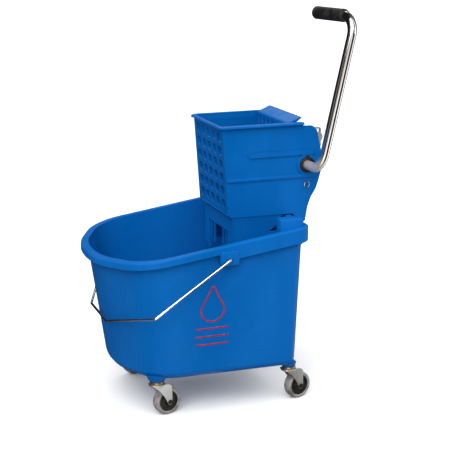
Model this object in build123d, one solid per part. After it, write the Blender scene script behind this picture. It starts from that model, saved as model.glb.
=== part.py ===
"""Mop bucket on casters with a side-press wringer: one STEP per sub-part.

Frame: +Z up, X along the tub with the pouring end at -X and the wringer at +X,
origin on the floor under the middle of the whole object.  Millimetres.
"""
from build123d import *
from math import cos, radians, sin, tan
import os

os.makedirs("parts", exist_ok=True)

# ---------------------------------------------------------------- driving dimensions
WALL = 4.0

# tub shell: x is measured from a datum that is moved to the middle at the end
TUB_FLOOR_Z = 94.0
TUB_REAR_X_FLOOR, TUB_REAR_X_TOP = 226.0, 232.0
TUB_NOSE_X_FLOOR, TUB_NOSE_X_TOP = -183.0, -234.0
TUB_HALF_FLOOR, TUB_HALF_TOP = 182.0, 209.0
TUB_TOP_Z = 450.0
TUB_TAPER = 14.0
TUB_EDGE_R = 20.0
PLAN_CORNER_R, PLAN_SHOULDER_R, PLAN_BROW_R, PLAN_NOSE_R = 24.0, 100.0, 150.0, 280.0
PLAN_SHOULDER_BACK, PLAN_BROW_BACK, PLAN_BROW_HALF = 76.0, 11.0, 84.0
RIM_SLOPE = 0.14
RIM_REAR_X, RIM_REAR_Z = 243.0, 446.0
RIM_NOSE_X = -239.0
RIM_HALF = 219.0
RIM_TAPER, RIM_CORNER_R = 4.0, 30.0
RIM_SKIRT_FRONT, RIM_SKIRT_REAR = 17.0, 36.0
RIM_STEP_X = 20.0

# bail
BAIL_X, BAIL_Z = 44.0, 388.0
BAIL_WIRE_R = 3.0
BAIL_ARM, BAIL_DROP = 217.0, 300.0
BAIL_HALF, BAIL_MID_HALF = 224.0, 70.0
BAIL_HANG = 33.3
BAIL_BEND_R = 6.0
BAIL_PAD = (44.0, 16.0, 34.0)
BAIL_HOLE_R, BAIL_FLANGE_R = 6.0, 8.5
PRESS_FIT, RUNNING_FIT = 0.04, 0.05

# raised corners of the tub that flank the wringer
CORNER_X0, CORNER_X1 = 172.0, 228.0
CORNER_Y0, CORNER_Y1 = 176.0, 206.0
CORNER_LOW_Z, CORNER_TOP_Z = 400.0, 463.0

# casters
CASTER_NAMES = ("front_left", "front_right", "rear_left", "rear_right")
CASTER_AT = ((-107.0, 136.0), (220.0, 150.0))
BOSS_R, BOSS_Z = 18.0, 87.0
WHEEL_R, WHEEL_W = 32.5, 23.0
TRAIL = 26.0
CASTER_TURN = 14.0
STEM_R, STEM_LEN, STEM_WALL = 5.5, 36.0, 5.0
SWIVEL_PIN_R, SWIVEL_PIN_LEN, SWIVEL_GAP = 5.0, 9.0, 0.4
RACE_R, RACE_T = 16.5, 6.0
FORK_T, FORK_GAP = 2.5, 28.0
CROWN_R, CROWN_T = 19.0, 6.0
AXLE_R, NUT_R, NUT_T = 3.0, 4.8, 2.5
HUB_R, HUB_W, HUB_BOSS_R, HUB_RECESS = 24.5, 26.0, 8.0, 1.5
TYRE_EDGE_R = 3.0

# wringer housing
BASKET_FRONT_TOP, BASKET_FRONT_LOW = 68.0, 83.0
BASKET_TOP_Z, BASKET_LOW_Z = 666.0, 457.0
HOUSING_HALF = 100.0
BASKET_REAR, LIP_REAR = 222.0, 270.0
WINDOW_COLUMNS, WINDOW_ROWS = 5, 6
WINDOW_PITCH_Y, WINDOW_PITCH_Z = 36.0, 31.5
WINDOW_W, WINDOW_H, WINDOW_LOW = 25.0, 23.0, 22.0
DRAIN_ROWS, DRAIN_PITCH = 5, 25.0
DRAIN_SLOT_X, DRAIN_SLOT_Y, DRAIN_OFF = 9.0, 66.0, 44.0
LIP_OUT, LIP_H = 8.0, 9.0
SHAFT_X, SHAFT_Z = 281.0, 564.0
SHAFT_R = 11.1
BUSH_R, BUSH_FLANGE_R = 16.5, 19.0
BUSH_REACH, BUSH_FLANGE_T, BUSH_BOSS_R = 3.0, 3.0, 26.0
CHEEK_R = 40.0
SKIRT_X0, SKIRT_X1, SKIRT_Z = 95.0, 219.0, 352.0
OUTLET_W, OUTLET_H = 130.0, 70.0
SHELF_X, SHELF_Z, HOOK_DROP = 254.0, 449.0, 28.0
TIE_Z, TIE_R, TIE_BORE = 516.0, 7.5, 4.5
GUIDE_Z, GUIDE_H = 594.0, 12.0
GUIDE_X0, GUIDE_X1 = 130.0, 300.0
RUNNER_Z, RUNNER_X0, RUNNER_H = 537.0, 80.0, 12.0
BEAD_OUT = 4.0

# press plate, yokes and handle
PRESS_TRAVEL_PER_DEG = 1.14
HANDLE_SWING = 75.0
PLATE_X, PLATE_T = 232.0, 16.0
PLATE_HALF = 95.2
PLATE_Z0, PLATE_Z1 = 464.0, 662.0
CROWN_Z, CROWN_OUT = 677.0, 20.0
RIB_COUNT, RIB_PITCH = 7, 26.0
CRANK_R, CRANK_LEAN = 70.0, 29.0
CRANK_Y, CRANK_T = 84.0, 6.0
ROLLER_R = 7.0
YOKE_Y, YOKE_T = 72.0, 6.0
YOKE_PLAY, YOKE_FOOT_T = 2.2, 3.0
HANDLE_LEAN = 12.7
ARM_Y = -180.0
GRIP_Z, GRIP_R, GRIP_LEN = 912.0, 15.5, 108.0
GRIP_TURN = 12.0
BEND_R = 42.0
TUBE_WALL = 1.6
SHAFT_END = 114.0
PIN_R, SHAFT_EYE_R, PIN_EYE_R = 4.0, 19.0, 12.0
CAP_R = 14.1


# ---------------------------------------------------------------- helpers
def side_slab(points, y0, y1):
    """Closed X-Z outline swept along Y from y0 to y1."""
    plane = Plane.XZ.offset(-y1)
    outline = make_face(Polyline(*points, close=True).edges())
    return extrude(plane * outline, amount=y1 - y0)


def bar(a, b, radius):
    """Round bar between two points."""
    a, b = Vector(*a), Vector(*b)
    axis = b - a
    return extrude(Plane(origin=a, z_dir=axis) * Circle(radius), amount=axis.length)


def ring(a, b, outer, inner):
    return bar(a, b, outer) - bar(a, b, inner)


def tub_plan(rear_x, nose_x, half_rear, half_front, corner_r):
    """Plan outline: square rear with rounded corners, blunt rounded front."""
    shoulder = (nose_x + PLAN_SHOULDER_BACK, half_front)
    brow = (nose_x + PLAN_BROW_BACK, PLAN_BROW_HALF)
    points = [(rear_x, -half_rear), (rear_x, half_rear), shoulder, brow, (nose_x, 0)]
    points += [(brow[0], -brow[1]), (shoulder[0], -shoulder[1])]
    face = make_face(Polyline(*points, close=True).edges())
    front_radii = [PLAN_SHOULDER_R, PLAN_BROW_R, PLAN_NOSE_R, PLAN_BROW_R, PLAN_SHOULDER_R]
    for point, radius in zip(points, [corner_r, corner_r, *front_radii]):
        near = Vector(*point)
        corner = min(face.vertices(), key=lambda v: (Vector(v.X, v.Y) - near).length)
        face = fillet([corner], radius)
    return face


def plan_at(z, inset):
    """The tub wall's plan at a height, moved in by an inset."""
    t = (z - TUB_FLOOR_Z) / (TUB_TOP_Z - TUB_FLOOR_Z)
    rear = TUB_REAR_X_FLOOR + t * (TUB_REAR_X_TOP - TUB_REAR_X_FLOOR) - inset
    nose = TUB_NOSE_X_FLOOR + t * (TUB_NOSE_X_TOP - TUB_NOSE_X_FLOOR) + inset
    half = TUB_HALF_FLOOR + t * (TUB_HALF_TOP - TUB_HALF_FLOOR) - inset
    taper = TUB_TAPER * (1 - t)
    return Pos(0, 0, z) * tub_plan(rear, nose, half, half - taper, PLAN_CORNER_R)


def rim_plan(inset):
    """The rim's plan, moved in by an inset."""
    half = RIM_HALF - inset
    corner_r = RIM_CORNER_R - inset
    return tub_plan(RIM_REAR_X - inset, RIM_NOSE_X + inset, half, half - RIM_TAPER, corner_r)


def rim_z(x):
    return RIM_REAR_Z - RIM_SLOPE * (RIM_REAR_X - x)


def under_rim(depth, x0=-400, x1=400, height=0):
    """Sloping slab whose top is the rim plane."""
    points = [(x0, rim_z(x0) + height), (x1, rim_z(x1) + height)]
    points += [(x1, rim_z(x1) - depth), (x0, rim_z(x0) - depth)]
    return side_slab(points, -400, 400)


def corner_block(side, inset):
    """Raised corner beside the wringer; inset by the wall it is the hollow, open below."""
    size = Vector(CORNER_X1 - CORNER_X0 - 2 * inset, CORNER_Y1 - CORNER_Y0 - 2 * inset, 0)
    low, top = CORNER_LOW_Z - inset, CORNER_TOP_Z - inset
    middle = Pos((CORNER_X0 + CORNER_X1) / 2, side * (CORNER_Y0 + CORNER_Y1) / 2, (low + top) / 2)
    return middle * Box(size.X, size.Y, top - low)


def bail_bar(side, near, far, radius):
    """Round bar on the bail's pivot axis, from one distance off the middle to another."""
    return bar((BAIL_X, side * near, BAIL_Z), (BAIL_X, side * far, BAIL_Z), radius)


def caster_places():
    return [(x, side * y) for x, y in CASTER_AT for side in (-1, 1)]


# ---------------------------------------------------------------- tub
def make_tub():
    body = loft([plan_at(TUB_FLOOR_Z, 0), plan_at(TUB_TOP_Z + 60, 0)], ruled=True)
    floor_edges = body.edges().filter_by_position(Axis.Z, TUB_FLOOR_Z - 1, TUB_FLOOR_Z + 1)
    body = fillet(floor_edges, TUB_EDGE_R)
    body = body & under_rim(500)
    prism = extrude(rim_plan(0), amount=TUB_TOP_Z)
    hoop = prism - extrude(rim_plan(WALL), amount=TUB_TOP_Z)
    body += prism & under_rim(WALL)
    body += hoop & under_rim(RIM_SKIRT_FRONT)
    body += hoop & under_rim(RIM_SKIRT_REAR, x0=RIM_STEP_X)
    for side in (-1, 1):
        pad = Pos(BAIL_X, side * (BAIL_HALF - BAIL_PAD[1] * 0.75), BAIL_Z) * Box(*BAIL_PAD)
        body += pad & under_rim(TUB_TOP_Z)
        body += corner_block(side, 0) & under_rim(2, height=TUB_TOP_Z)
    under = extrude(Pos(0, 0, BOSS_Z - TUB_FLOOR_Z) * plan_at(TUB_FLOOR_Z, 0), amount=STEM_LEN)
    for x, y in caster_places():
        body += bar((x, y, BOSS_Z), (x, y, BOSS_Z + STEM_LEN), BOSS_R) & under
    inner_floor = TUB_FLOOR_Z + WALL
    cavity = loft([plan_at(inner_floor, WALL), plan_at(TUB_TOP_Z + 60, WALL)], ruled=True)
    low = cavity.edges().filter_by_position(Axis.Z, inner_floor - 1, inner_floor + 1)
    cavity = fillet(low, TUB_EDGE_R - WALL)
    for side in (-1, 1):
        cavity -= corner_block(side, 0)
        body -= corner_block(side, WALL)
    for x, y in caster_places():
        cavity -= bar((x, y, 0), (x, y, BOSS_Z + STEM_LEN + WALL), STEM_R + STEM_WALL)
    body -= cavity
    for x, y in caster_places():
        body -= bar((x, y, BOSS_Z), (x, y, BOSS_Z + STEM_LEN), STEM_R)
    for side in (-1, 1):
        body -= bail_bar(side, TUB_HALF_FLOOR, BAIL_HALF + 16, BAIL_HOLE_R)
    return body


# ---------------------------------------------------------------- bail
def bail_point(y, reach):
    """A point of the hanging bail: reach is measured from its pivot axis."""
    a = radians(BAIL_HANG)
    return (BAIL_X - reach * cos(a), y, BAIL_Z - reach * sin(a))


def make_bail():
    inner = BAIL_HALF - 17
    points = [(BAIL_X, -inner, BAIL_Z), (BAIL_X, -BAIL_HALF - 4, BAIL_Z)]
    points += [bail_point(-BAIL_HALF - 4, BAIL_ARM), bail_point(-BAIL_MID_HALF, BAIL_DROP)]
    points += [(x, -y, z) for x, y, z in reversed(points)]
    path = FilletPolyline(*points, radius=BAIL_BEND_R)
    profile = Plane(origin=points[0], z_dir=(0, -1, 0)) * Circle(BAIL_WIRE_R)
    return sweep(profile, path=path)


def make_bail_bushes():
    bushes = []
    for side in (-1, 1):
        face = BAIL_HALF - BAIL_PAD[1] / 4
        bush = bail_bar(side, face - BAIL_PAD[1], face + 1.5, BAIL_HOLE_R - PRESS_FIT)
        bush += bail_bar(side, face + 0.02, face + 1.5, BAIL_FLANGE_R)
        bushes.append(bush - bail_bar(side, 0, 2 * BAIL_HALF, BAIL_WIRE_R + RUNNING_FIT))
    return Compound(children=bushes)


# ---------------------------------------------------------------- casters
def make_caster(x, y):
    """Stem and race stay with the tub; fork, axle, hub and tyre swivel below."""
    race_z = BOSS_Z - RACE_T
    stem = bar((x, y, race_z), (x, y, BOSS_Z), RACE_R)
    stem += bar((x, y, BOSS_Z), (x, y, BOSS_Z + STEM_LEN - 1), STEM_R)
    stem += bar((x, y, race_z - SWIVEL_PIN_LEN), (x, y, race_z), SWIVEL_PIN_R)
    turned = {"fork": make_fork(x, y, race_z - SWIVEL_GAP)}
    turned["axle"] = make_axle(x + TRAIL, y)
    turned.update(make_wheel(x + TRAIL, y))
    swivel = Axis((x, y, 0), (0, 0, 1))
    turned = {name: piece.rotate(swivel, CASTER_TURN) for name, piece in turned.items()}
    return {"stem": stem, **turned}


def across(x, y, near, far, radius):
    """Round bar along the wheel's axis, between two distances from the wheel's middle."""
    return bar((x, y + near, WHEEL_R), (x, y + far, WHEEL_R), radius)


def make_fork(x, y, top):
    """Pressed crown with two legs that lean back to the axle."""
    wheel_x = x + TRAIL
    front_x = x - RACE_R + 2
    fork = bar((x, y, top - CROWN_T), (x, y, top), CROWN_R)
    leg = [(front_x, top - 1), (wheel_x - 4, top - 1), (wheel_x + 6, top - 8)]
    leg += [(wheel_x + 6, WHEEL_R - 2), (wheel_x + 3, WHEEL_R - 7), (wheel_x - 3, WHEEL_R - 7)]
    leg += [(wheel_x - 14, WHEEL_R + 14), (x - 4, top - 14), (front_x, top - 6)]
    for inner in (-FORK_GAP / 2 - FORK_T, FORK_GAP / 2):
        fork += side_slab(leg, y + inner, y + inner + FORK_T)
    fork -= bar((x, y, top - 20), (x, y, top + 1), SWIVEL_PIN_R + 0.3)
    return fork - across(wheel_x, y, -FORK_GAP, FORK_GAP, AXLE_R)


def make_axle(x, y):
    """Hexagon bolt with its nut outside the legs."""
    reach = FORK_GAP / 2 + FORK_T
    axle = across(x, y, -reach - 2, reach + 4, AXLE_R)
    for side in (-1, 1):
        face = Plane(origin=(x, y + side * reach, WHEEL_R), z_dir=(0, side, 0))
        axle += extrude(face * RegularPolygon(NUT_R, 6), amount=NUT_T)
    return axle


def make_wheel(x, y):
    """Moulded hub that turns on the axle, with its tyre."""
    body, boss = WHEEL_W / 2 - HUB_RECESS, HUB_W / 2
    hub = across(x, y, -boss, boss, HUB_BOSS_R) + across(x, y, -body, body, HUB_R)
    hub -= across(x, y, -HUB_W, HUB_W, AXLE_R + RUNNING_FIT)
    tyre = across(x, y, -WHEEL_W / 2, WHEEL_W / 2, WHEEL_R)
    tyre = fillet(tyre.edges().filter_by(GeomType.CIRCLE), TYRE_EDGE_R)
    return {"hub": hub, "tyre": tyre - across(x, y, -WHEEL_W, WHEEL_W, HUB_R)}


# ---------------------------------------------------------------- wringer housing
def front_x(z):
    """Outer face of the sloping front panel."""
    t = (BASKET_TOP_Z - z) / (BASKET_TOP_Z - BASKET_LOW_Z)
    return BASKET_FRONT_TOP + t * (BASKET_FRONT_LOW - BASKET_FRONT_TOP)


def cheek_outline():
    """Side wall of the basket with its rear bracket for the shaft."""
    points = [(front_x(BASKET_TOP_Z), BASKET_TOP_Z), (LIP_REAR, BASKET_TOP_Z), (LIP_REAR, 657)]
    points += [(295, 656), (306, 646), (317, 600), (SHAFT_X + CHEEK_R, 556)]
    points += [(313, 526), (306, 505), (292, 484), (284, 460), (280, 447)]
    points += [(BASKET_REAR, 447), (BASKET_REAR, 452), (BASKET_FRONT_LOW, BASKET_LOW_Z - WALL)]
    return points


def front_panel():
    """Sloping perforated panel."""
    top, low = front_x(BASKET_TOP_Z), BASKET_FRONT_LOW
    outline = [(top, BASKET_TOP_Z), (top + WALL, BASKET_TOP_Z)]
    outline += [(low + WALL, BASKET_LOW_Z), (low, BASKET_LOW_Z)]
    panel = side_slab(outline, -HOUSING_HALF, HOUSING_HALF)
    for column in range(WINDOW_COLUMNS):
        y = (column - (WINDOW_COLUMNS - 1) / 2) * WINDOW_PITCH_Y
        for row in range(WINDOW_ROWS):
            z = BASKET_LOW_Z + WINDOW_LOW + row * WINDOW_PITCH_Z
            panel -= Pos(front_x(z), y, z) * Box(30, WINDOW_W, WINDOW_H)
    return panel


def basket_floor():
    """Floor plate with two rows of drain slots."""
    length = BASKET_REAR - BASKET_FRONT_LOW
    z = BASKET_LOW_Z - WALL / 2
    floor = Pos(BASKET_FRONT_LOW + length / 2, 0, z) * Box(length, 2 * HOUSING_HALF, WALL)
    for row in range(DRAIN_ROWS):
        x = BASKET_FRONT_LOW + 19 + DRAIN_PITCH * row
        for side in (-1, 1):
            floor -= Pos(x, side * DRAIN_OFF, z) * Box(DRAIN_SLOT_X, DRAIN_SLOT_Y, 20)
    return floor


def basket_lip():
    """Flared rim on three sides of the mouth, hollow below."""
    x0 = front_x(BASKET_TOP_Z)
    low = BASKET_TOP_Z - LIP_H
    length = LIP_REAR - x0 + LIP_OUT
    half = HOUSING_HALF + LIP_OUT
    middle = Pos(LIP_REAR - length / 2, 0, BASKET_TOP_Z - LIP_H / 2)
    lip = middle * Box(length, 2 * half, LIP_H)
    mouth = Pos(x0 + WALL + 110, 0, BASKET_TOP_Z) * Box(220, 2 * (HOUSING_HALF - WALL), 3 * LIP_H)
    under = Pos(LIP_REAR - length / 2 + WALL, 0, low + (LIP_H - WALL) / 2)
    under = under * Box(length, 2 * (half - WALL), LIP_H - WALL)
    keep = Pos(x0 + 110, 0, low) * Box(220, 2 * HOUSING_HALF, 2 * LIP_H)
    return lip - mouth - (under - keep)


def side_bead(side, x0, z, height, out):
    """Raised band along a cheek's outer face."""
    outline = [(x0, z - height / 2), (GUIDE_X1, z - height / 2)]
    outline += [(GUIDE_X1, z + height / 2), (x0, z + height / 2)]
    y0, y1 = sorted((side * HOUSING_HALF, side * (HOUSING_HALF + out)))
    return side_slab(outline, y0, y1)


def shaft_bar(side, near, far, radius):
    """Round bar on the shaft's axis, from one distance off the middle to another."""
    return bar((SHAFT_X, side * near, SHAFT_Z), (SHAFT_X, side * far, SHAFT_Z), radius)


def drain_skirt():
    """Open box below the basket that drops the water into the tub."""
    height = BASKET_LOW_Z - SKIRT_Z
    length, half = SKIRT_X1 - SKIRT_X0, HOUSING_HALF - WALL
    middle = Pos(SKIRT_X0 + length / 2, 0, SKIRT_Z + height / 2)
    skirt = middle * Box(length, 2 * half, height)
    skirt -= middle * Box(length - 2 * WALL, 2 * (half - WALL), height + 40)
    return skirt - Pos(SKIRT_X0, 0, SKIRT_Z + height / 2 - 14) * Box(30, OUTLET_W, OUTLET_H)


def make_housing():
    outer = HOUSING_HALF
    body = side_slab(cheek_outline(), -outer, -outer + WALL)
    body += side_slab(cheek_outline(), outer - WALL, outer)
    body += front_panel() + basket_floor() + basket_lip()
    for side in (-1, 1):
        body += side_bead(side, GUIDE_X0, GUIDE_Z, GUIDE_H + 6, BEAD_OUT)
        body += side_bead(side, RUNNER_X0, RUNNER_Z, RUNNER_H, BEAD_OUT - 1)
        groove = Pos((GUIDE_X0 + GUIDE_X1) / 2, side * (outer - WALL + 1.5), GUIDE_Z)
        body -= groove * Box(GUIDE_X1 - GUIDE_X0 - 6, 5, GUIDE_H)
        body += shaft_bar(side, outer - WALL - 2, outer + BUSH_REACH, BUSH_BOSS_R)
    body += drain_skirt()
    body += Pos(BASKET_REAR - WALL / 2, 0, SHELF_Z) * Box(WALL, 2 * outer, 12)
    shelf_x0, half = BASKET_REAR - WALL, outer - 2
    body += Pos((shelf_x0 + SHELF_X) / 2, 0, SHELF_Z) * Box(SHELF_X - shelf_x0, 2 * half, WALL)
    hook_z = SHELF_Z - HOOK_DROP / 2 + 1
    body += Pos(SHELF_X - WALL / 2, 0, hook_z) * Box(WALL, 2 * half, HOOK_DROP)
    for side in (-1, 1):
        body -= shaft_bar(side, YOKE_Y, 2 * outer, BUSH_R)
    return body - tie_bar(outer + 20, TIE_R - 1.5)


def make_bush(side):
    """Black plastic bush, pushed in from outside, with a flange."""
    face = HOUSING_HALF + BUSH_REACH
    bush = shaft_bar(side, HOUSING_HALF - WALL - 2, face, BUSH_R)
    bush += shaft_bar(side, face, face + BUSH_FLANGE_T, BUSH_FLANGE_R)
    return bush - shaft_bar(side, YOKE_Y, 2 * HOUSING_HALF, SHAFT_R + 0.08)


def tie_bar(half, radius):
    return bar((SHAFT_X, -half, TIE_Z), (SHAFT_X, half, TIE_Z), radius)


def make_tie_rod():
    """Tube between the cheeks with its ends flared over them."""
    half = HOUSING_HALF
    rod = tie_bar(half + 2, TIE_R - 1.5) + tie_bar(half - WALL, TIE_R)
    rod += tie_bar(half + 3, TIE_R) - tie_bar(half, TIE_R)
    return rod - tie_bar(half + 20, TIE_BORE)


# ---------------------------------------------------------------- press plate
def crank_pin():
    a = radians(CRANK_LEAN)
    return SHAFT_X + CRANK_R * sin(a), SHAFT_Z + CRANK_R * cos(a)


def lowest_pin_z():
    """Height of the crank pins with the handle pulled right over."""
    return SHAFT_Z + CRANK_R * cos(radians(HANDLE_SWING - CRANK_LEAN))


def make_press_plate():
    x, t = PLATE_X, PLATE_T
    crown_x = x + t + CROWN_OUT
    profile = [(x, PLATE_Z0), (x + t, PLATE_Z0), (x + t, PLATE_Z1), (crown_x, CROWN_Z - 2)]
    profile += [(crown_x, CROWN_Z), (crown_x - 3, CROWN_Z), (x, PLATE_Z1 + 1)]
    plate = side_slab(profile, -PLATE_HALF, PLATE_HALF)
    for index in range(RIB_COUNT):
        y = (index - (RIB_COUNT - 1) / 2) * RIB_PITCH
        plate -= Pos(x, y, (PLATE_Z0 + PLATE_Z1) / 2) * Box(8, 12, PLATE_Z1 - PLATE_Z0 - 40)
    for side in (-1, 1):
        guide = Pos(x + t / 2, side * (PLATE_HALF + 1.2), GUIDE_Z) * Box(t, 5.0, GUIDE_H - 0.8)
        plate += guide
    return plate


def make_yoke(side):
    """Slotted steel cheek behind the plate; the crank roller runs in its slot."""
    px, pz = crank_pin()
    half_slot = ROLLER_R + YOKE_PLAY
    low = lowest_pin_z() - ROLLER_R - 1.5
    high = SHAFT_Z + CRANK_R + ROLLER_R + 1.5
    x0 = PLATE_X + PLATE_T
    y0, y1 = side * YOKE_Y - YOKE_T / 2, side * YOKE_Y + YOKE_T / 2
    points = [(x0, low - 14), (px - 4, low - 12), (px + half_slot + 4, low - 3)]
    points += [(px + half_slot + 4, high + 1), (px + half_slot, high + 4), (px - 8, high + 4)]
    points += [(x0, high - 6)]
    yoke = side_slab(points, y0, y1)
    cut = Pos(px, side * YOKE_Y, (low + high) / 2) * Box(2 * half_slot, 30, high - low)
    foot = Pos(x0 + YOKE_FOOT_T / 2, side * (YOKE_Y - 12), (low + high) / 2)
    foot = foot * Box(YOKE_FOOT_T, 26, high - low - 20)
    return yoke - cut + foot


def make_yoke_screws():
    low = lowest_pin_z()
    x0 = PLATE_X + PLATE_T + YOKE_FOOT_T
    screws = []
    for side in (-1, 1):
        y = side * (YOKE_Y - 16)
        screws += [bar((x0, y, z), (x0 + 3.5, y, z), 5.0) for z in (low + 4, low + 34)]
    return Compound(children=screws)


# ---------------------------------------------------------------- handle
def make_handle_tube():
    lean = radians(HANDLE_LEAN)
    top = (SHAFT_X + (GRIP_Z - SHAFT_Z) * tan(lean), ARM_Y, GRIP_Z)
    turn = radians(GRIP_TURN)
    reach = GRIP_LEN + BEND_R - 6
    end = (top[0] - reach * sin(turn), top[1] + reach * cos(turn), GRIP_Z)
    inner = (SHAFT_X, SHAFT_END, SHAFT_Z)
    points = [inner, (SHAFT_X, ARM_Y, SHAFT_Z), top, end]
    path = FilletPolyline(*points, radius=BEND_R)
    tube = sweep(Plane(origin=inner, z_dir=(0, -1, 0)) * Circle(SHAFT_R), path=path)
    bore = sweep(Plane(origin=inner, z_dir=(0, -1, 0)) * Circle(SHAFT_R - TUBE_WALL), path=path)
    return tube - bore, Vector(*top), Vector(*end)


def make_grip(top, end):
    axis = (end - top).normalized()
    start = end - axis * (GRIP_LEN - 5)
    tip = end + axis * 5
    grip = bar(tuple(start), tuple(tip), GRIP_R)
    grip = fillet(grip.edges().filter_by(GeomType.CIRCLE), 4)
    return grip - bar(tuple(start - axis * 5), tuple(end), SHAFT_R)


def make_crank(side):
    px, pz = crank_pin()
    y0 = side * CRANK_Y - CRANK_T / 2
    y1 = y0 + CRANK_T
    a = radians(CRANK_LEAN)
    nx, nz = cos(a), -sin(a)
    wide, slim = SHAFT_EYE_R - 2, PIN_EYE_R - 1
    web = [(SHAFT_X + wide * nx, SHAFT_Z + wide * nz), (px + slim * nx, pz + slim * nz)]
    web += [(px - slim * nx, pz - slim * nz), (SHAFT_X - wide * nx, SHAFT_Z - wide * nz)]
    crank = side_slab(web, y0, y1)
    crank += bar((SHAFT_X, y0, SHAFT_Z), (SHAFT_X, y1, SHAFT_Z), SHAFT_EYE_R)
    crank += bar((px, y0, pz), (px, y1, pz), PIN_EYE_R)
    crank -= bar((SHAFT_X, y0 - 5, SHAFT_Z), (SHAFT_X, y1 + 5, SHAFT_Z), SHAFT_R)
    return crank - bar((px, y0 - 5, pz), (px, y1 + 5, pz), PIN_R)


def make_crank_rollers():
    px, pz = crank_pin()
    pieces = []
    for side in (-1, 1):
        inner = side * (YOKE_Y - YOKE_T / 2 - 3)
        outer = side * (CRANK_Y + CRANK_T / 2 + 2)
        pin = bar((px, inner, pz), (px, outer, pz), PIN_R)
        near = side * (CRANK_Y - CRANK_T / 2)
        pin += bar((px, near, pz), (px, inner, pz), ROLLER_R)
        pieces.append(pin)
    return Compound(children=pieces)


def make_shaft_cap():
    """Plastic cap on the free end of the shaft."""
    cap = shaft_bar(1, SHAFT_END - 6, SHAFT_END + 4, CAP_R)
    return cap - shaft_bar(1, SHAFT_END - 7, SHAFT_END, SHAFT_R)


def build_nodes():
    nodes = {"tub": make_tub(), "bail_wire": make_bail(), "bail_bushes": make_bail_bushes()}
    for name, (x, y) in zip(CASTER_NAMES, caster_places()):
        for piece, solid in make_caster(x, y).items():
            nodes[f"{name}_caster_{piece}"] = solid
    nodes["wringer_housing"] = make_housing()
    nodes["shaft_bush_left"] = make_bush(-1)
    nodes["shaft_bush_right"] = make_bush(1)
    nodes["tie_rod"] = make_tie_rod()
    nodes["press_plate"] = make_press_plate()
    nodes["press_yoke_left"] = make_yoke(-1)
    nodes["press_yoke_right"] = make_yoke(1)
    nodes["yoke_screws"] = make_yoke_screws()
    tube, top, end = make_handle_tube()
    nodes["handle_tube"] = tube
    nodes["handle_grip"] = make_grip(top, end)
    nodes["crank_left"] = make_crank(-1)
    nodes["crank_right"] = make_crank(1)
    nodes["crank_rollers"] = make_crank_rollers()
    nodes["shaft_cap"] = make_shaft_cap()
    return nodes


def centred(nodes):
    """Move everything so the origin is under the middle of the whole box."""
    here = Pos(0, 0, 0)
    box = Compound(children=[here * node for node in nodes.values()]).bounding_box()
    shift = Pos(-(box.min.X + box.max.X) / 2, -(box.min.Y + box.max.Y) / 2, -box.min.Z)
    return {name: shift * solid for name, solid in nodes.items()}, shift.position


NODES, SHIFT = centred(build_nodes())
for node_name, node in NODES.items():
    export_step(node, f"parts/{node_name}.step")
print("shift", SHIFT)
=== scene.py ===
from math import atan2, cos, pi, radians, sin, tan

import bmesh
import bpy
from mathutils import Matrix, Vector
from mathutils.bvhtree import BVHTree


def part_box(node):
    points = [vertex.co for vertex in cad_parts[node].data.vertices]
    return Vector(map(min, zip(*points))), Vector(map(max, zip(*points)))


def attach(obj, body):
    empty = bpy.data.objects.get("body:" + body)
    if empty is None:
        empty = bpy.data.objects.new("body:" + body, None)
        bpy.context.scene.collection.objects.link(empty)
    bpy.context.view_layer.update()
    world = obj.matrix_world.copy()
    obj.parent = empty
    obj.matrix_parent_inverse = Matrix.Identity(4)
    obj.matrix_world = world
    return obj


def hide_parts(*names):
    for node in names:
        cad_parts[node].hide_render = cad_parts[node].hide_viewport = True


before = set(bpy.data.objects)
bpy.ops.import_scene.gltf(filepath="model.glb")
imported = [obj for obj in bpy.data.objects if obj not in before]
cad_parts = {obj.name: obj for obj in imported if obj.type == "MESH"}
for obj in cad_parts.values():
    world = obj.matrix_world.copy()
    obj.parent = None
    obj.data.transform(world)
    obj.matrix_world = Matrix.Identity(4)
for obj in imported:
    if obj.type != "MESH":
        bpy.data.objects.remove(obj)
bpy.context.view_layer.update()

# ------------------------------------------------------------ camera
# A long lens a little above the rim, looking at the open front quarter of the tub,
# far enough away that the upright walls stay nearly parallel.
MM = 0.001
aim = Vector((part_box("tub")[1].x - 130.7 * MM, 0, 407 * MM))
turn, rise, distance = radians(-20.3), radians(14.5), 2.905
away = Vector((sin(turn) * cos(rise), -cos(turn) * cos(rise), sin(rise)))
camera = bpy.data.objects.new("camera", bpy.data.cameras.new("camera"))
bpy.context.scene.collection.objects.link(camera)
camera.data.lens, camera.data.sensor_width = 96, 36
camera.location = aim + away * distance
camera.rotation_euler = (-away).to_track_quat("-Z", "Y").to_euler()
bpy.context.scene.camera = camera
bpy.context.scene.view_settings.view_transform = "Standard"


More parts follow.
